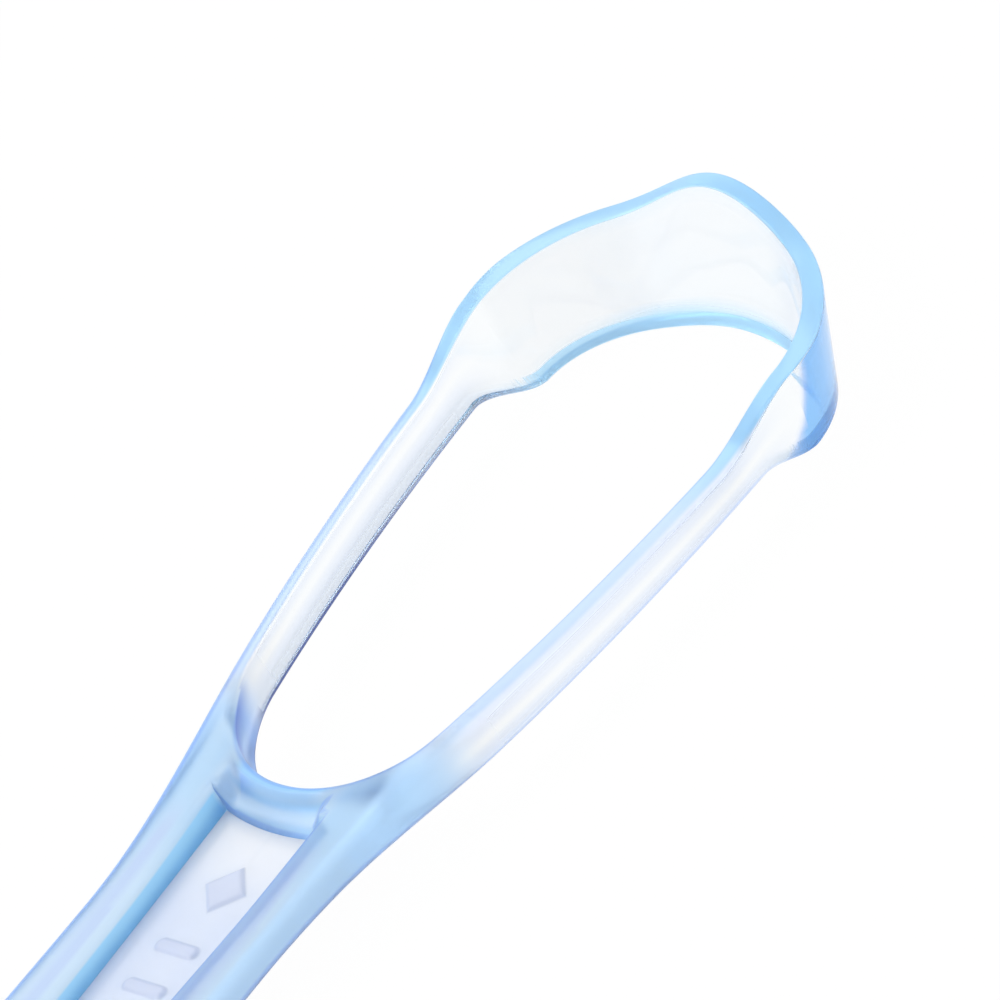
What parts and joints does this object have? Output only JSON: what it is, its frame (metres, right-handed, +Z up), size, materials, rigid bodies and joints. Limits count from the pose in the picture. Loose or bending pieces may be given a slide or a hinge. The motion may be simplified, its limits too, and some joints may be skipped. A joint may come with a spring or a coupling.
{
  "type": "tongue scraper",
  "caption": "Clear loop tongue scraper: a slim handle with a recessed grip panel forks into two arms that carry a raised, leaning scraping head.",
  "frame": {"origin": "under the middle of the length and width, level with the scraping edge", "axes": "+X from the handle's end to the nose of the loop, +Y across the loop, +Z up from the scraping edge to the rim"},
  "size_m": [0.15, 0.036, 0.0116],
  "materials": {
    "blue_clear_plastic": "polished clear moulding, blue where light runs a long way through it",
    "pale_clear_plastic": "polished clear plate, almost without colour"
  },
  "bodies": {
    "root": {"frame": "blue_clear_plastic", "grip_panel": "pale_clear_plastic"}
  },
  "joints": []
}
